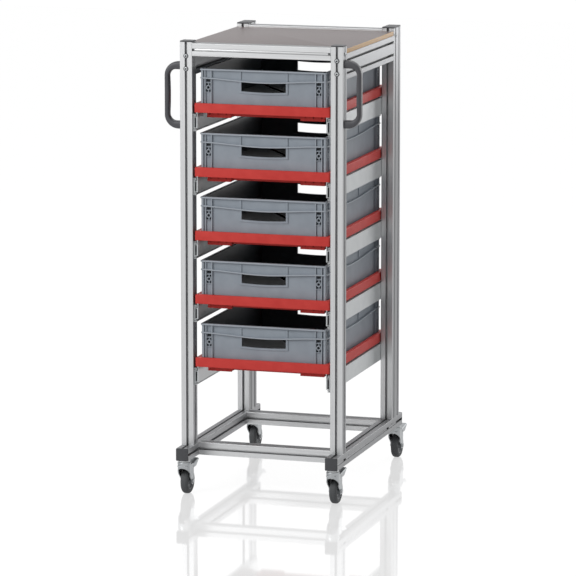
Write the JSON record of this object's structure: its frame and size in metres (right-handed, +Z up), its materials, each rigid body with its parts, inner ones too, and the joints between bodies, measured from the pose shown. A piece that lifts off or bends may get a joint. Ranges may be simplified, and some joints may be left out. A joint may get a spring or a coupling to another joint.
{
  "type": "storage box trolley",
  "caption": "Tall four-castor trolley of slotted aluminium profile with pull-out trays on telescopic slides, grey stacking boxes, a flat worktop and two bow handles.",
  "frame": {"origin": "on the floor, under the middle of the whole part's width and depth", "axes": "+Z up, -Y toward the front from which the trays pull out, +X to the right seen from the front"},
  "size_m": [0.634, 0.832, 1.427],
  "materials": {
    "anodised_aluminium": "satin natural anodised extrusion",
    "cover_strip": "satin strip",
    "cap_plastic": "fine grain",
    "zinc_steel": "bright zinc plated",
    "laminate_board": "grey-brown laminate with a beech coloured edge",
    "handle_plastic": "satin grain",
    "box_plastic": "satin moulded polypropylene",
    "tray_plastic": "satin gloss moulded",
    "hub_plastic": "moulded",
    "tyre_rubber": "smooth moulded"
  },
  "bodies": {
    "frame": {"post_front_left": "anodised_aluminium", "post_front_right": "anodised_aluminium", "post_rear_left": "anodised_aluminium", "post_rear_right": "anodised_aluminium", "top_side_rail_left": "anodised_aluminium", "base_side_rail_left": "anodised_aluminium", "top_side_rail_right": "anodised_aluminium", "base_side_rail_right": "anodised_aluminium", "top_front_rail": "anodised_aluminium", "base_front_rail": "anodised_aluminium", "top_rear_rail": "anodised_aluminium", "base_rear_rail": "anodised_aluminium", "slot_covers": "cover_strip", "end_caps": "cap_plastic", "screws": "zinc_steel", "worktop": "laminate_board", "slide_outer_rails": "zinc_steel", "castor_mounts": "zinc_steel", "handle_left": "handle_plastic", "handle_right": "handle_plastic"},
    "drawer_1": {"tray_1": "tray_plastic", "slide_inner_1": "zinc_steel"},
    "slide_1": {"slide_middle_1": "zinc_steel"},
    "box_1": {"box_1": "box_plastic"},
    "drawer_2": {"tray_2": "tray_plastic", "slide_inner_2": "zinc_steel"},
    "slide_2": {"slide_middle_2": "zinc_steel"},
    "box_2": {"box_2": "box_plastic"},
    "drawer_3": {"tray_3": "tray_plastic", "slide_inner_3": "zinc_steel"},
    "slide_3": {"slide_middle_3": "zinc_steel"},
    "box_3": {"box_3": "box_plastic"},
    "drawer_4": {"tray_4": "tray_plastic", "slide_inner_4": "zinc_steel"},
    "slide_4": {"slide_middle_4": "zinc_steel"},
    "box_4": {"box_4": "box_plastic"},
    "drawer_5": {"tray_5": "tray_plastic", "slide_inner_5": "zinc_steel"},
    "slide_5": {"slide_middle_5": "zinc_steel"},
    "box_5": {"box_5": "box_plastic"},
    "castor_front_left_swivel": {"castor_front_left_fork": "zinc_steel", "castor_front_left_axle": "zinc_steel"},
    "castor_front_left_wheel": {"castor_front_left_hub": "hub_plastic", "castor_front_left_tyre": "tyre_rubber"},
    "castor_front_left_brake": {"castor_front_left_pedal": "zinc_steel"},
    "castor_front_right_swivel": {"castor_front_right_fork": "zinc_steel", "castor_front_right_axle": "zinc_steel"},
    "castor_front_right_wheel": {"castor_front_right_hub": "hub_plastic", "castor_front_right_tyre": "tyre_rubber"},
    "castor_front_right_brake": {"castor_front_right_pedal": "zinc_steel"},
    "castor_rear_left_swivel": {"castor_rear_left_fork": "zinc_steel", "castor_rear_left_axle": "zinc_steel"},
    "castor_rear_left_wheel": {"castor_rear_left_hub": "hub_plastic", "castor_rear_left_tyre": "tyre_rubber"},
    "castor_rear_left_brake": {"castor_rear_left_pedal": "zinc_steel"},
    "castor_rear_right_swivel": {"castor_rear_right_fork": "zinc_steel", "castor_rear_right_axle": "zinc_steel"},
    "castor_rear_right_wheel": {"castor_rear_right_hub": "hub_plastic", "castor_rear_right_tyre": "tyre_rubber"},
    "castor_rear_right_brake": {"castor_rear_right_pedal": "zinc_steel"}
  },
  "joints": [
    {"name": "drawer_1_pull", "type": "slide", "parent": "frame", "child": "drawer_1", "axis": [0, -1, 0], "range_m": [0, 0.6]},
    {"name": "slide_1_pull", "type": "slide", "parent": "frame", "child": "slide_1", "axis": [0, -1, 0], "range_m": [0, 0.3]},
    {"name": "box_1_lift", "type": "slide", "parent": "drawer_1", "child": "box_1", "axis": [0, 0, 1], "range_m": [0, 0.035]},
    {"name": "drawer_2_pull", "type": "slide", "parent": "frame", "child": "drawer_2", "axis": [0, -1, 0], "range_m": [0, 0.6]},
    {"name": "slide_2_pull", "type": "slide", "parent": "frame", "child": "slide_2", "axis": [0, -1, 0], "range_m": [0, 0.3]},
    {"name": "box_2_lift", "type": "slide", "parent": "drawer_2", "child": "box_2", "axis": [0, 0, 1], "range_m": [0, 0.035]},
    {"name": "drawer_3_pull", "type": "slide", "parent": "frame", "child": "drawer_3", "axis": [0, -1, 0], "range_m": [0, 0.6]},
    {"name": "slide_3_pull", "type": "slide", "parent": "frame", "child": "slide_3", "axis": [0, -1, 0], "range_m": [0, 0.3]},
    {"name": "box_3_lift", "type": "slide", "parent": "drawer_3", "child": "box_3", "axis": [0, 0, 1], "range_m": [0, 0.035]},
    {"name": "drawer_4_pull", "type": "slide", "parent": "frame", "child": "drawer_4", "axis": [0, -1, 0], "range_m": [0, 0.6]},
    {"name": "slide_4_pull", "type": "slide", "parent": "frame", "child": "slide_4", "axis": [0, -1, 0], "range_m": [0, 0.3]},
    {"name": "box_4_lift", "type": "slide", "parent": "drawer_4", "child": "box_4", "axis": [0, 0, 1], "range_m": [0, 0.035]},
    {"name": "drawer_5_pull", "type": "slide", "parent": "frame", "child": "drawer_5", "axis": [0, -1, 0], "range_m": [0, 0.6]},
    {"name": "slide_5_pull", "type": "slide", "parent": "frame", "child": "slide_5", "axis": [0, -1, 0], "range_m": [0, 0.3]},
    {"name": "box_5_lift", "type": "slide", "parent": "drawer_5", "child": "box_5", "axis": [0, 0, 1], "range_m": [0, 0.035]},
    {"name": "castor_front_left_turn", "type": "hinge", "parent": "frame", "child": "castor_front_left_swivel", "pos_m": [-0.243, -0.394, 0.1], "axis": [0, 0, 1], "continuous": true},
    {"name": "castor_front_left_roll", "type": "hinge", "parent": "castor_front_left_swivel", "child": "castor_front_left_wheel", "pos_m": [-0.243, -0.362, 0.04], "axis": [1, 0, 0], "continuous": true},
    {"name": "castor_front_left_brake_press", "type": "hinge", "parent": "castor_front_left_swivel", "child": "castor_front_left_brake", "pos_m": [-0.243, -0.356, 0.0865], "axis": [-1, 0, 0], "range_deg": [0, 8]},
    {"name": "castor_front_right_turn", "type": "hinge", "parent": "frame", "child": "castor_front_right_swivel", "pos_m": [0.243, -0.394, 0.1], "axis": [0, 0, 1], "continuous": true},
    {"name": "castor_front_right_roll", "type": "hinge", "parent": "castor_front_right_swivel", "child": "castor_front_right_wheel", "pos_m": [0.243, -0.362, 0.04], "axis": [1, 0, 0], "continuous": true},
    {"name": "castor_front_right_brake_press", "type": "hinge", "parent": "castor_front_right_swivel", "child": "castor_front_right_brake", "pos_m": [0.243, -0.356, 0.0865], "axis": [-1, 0, 0], "range_deg": [0, 8]},
    {"name": "castor_rear_left_turn", "type": "hinge", "parent": "frame", "child": "castor_rear_left_swivel", "pos_m": [-0.243, 0.313, 0.1], "axis": [0, 0, 1], "continuous": true},
    {"name": "castor_rear_left_roll", "type": "hinge", "parent": "castor_rear_left_swivel", "child": "castor_rear_left_wheel", "pos_m": [-0.243, 0.345, 0.04], "axis": [1, 0, 0], "continuous": true},
    {"name": "castor_rear_left_brake_press", "type": "hinge", "parent": "castor_rear_left_swivel", "child": "castor_rear_left_brake", "pos_m": [-0.243, 0.351, 0.0865], "axis": [-1, 0, 0], "range_deg": [0, 8]},
    {"name": "castor_rear_right_turn", "type": "hinge", "parent": "frame", "child": "castor_rear_right_swivel", "pos_m": [0.243, 0.313, 0.1], "axis": [0, 0, 1], "continuous": true},
    {"name": "castor_rear_right_roll", "type": "hinge", "parent": "castor_rear_right_swivel", "child": "castor_rear_right_wheel", "pos_m": [0.243, 0.345, 0.04], "axis": [1, 0, 0], "continuous": true},
    {"name": "castor_rear_right_brake_press", "type": "hinge", "parent": "castor_rear_right_swivel", "child": "castor_rear_right_brake", "pos_m": [0.243, 0.351, 0.0865], "axis": [-1, 0, 0], "range_deg": [0, 8]}
  ],
  "couplings": [
    {"joint": "slide_1_pull", "follows": "drawer_1_pull", "ratio": 0.5},
    {"joint": "slide_2_pull", "follows": "drawer_2_pull", "ratio": 0.5},
    {"joint": "slide_3_pull", "follows": "drawer_3_pull", "ratio": 0.5},
    {"joint": "slide_4_pull", "follows": "drawer_4_pull", "ratio": 0.5},
    {"joint": "slide_5_pull", "follows": "drawer_5_pull", "ratio": 0.5}
  ]
}
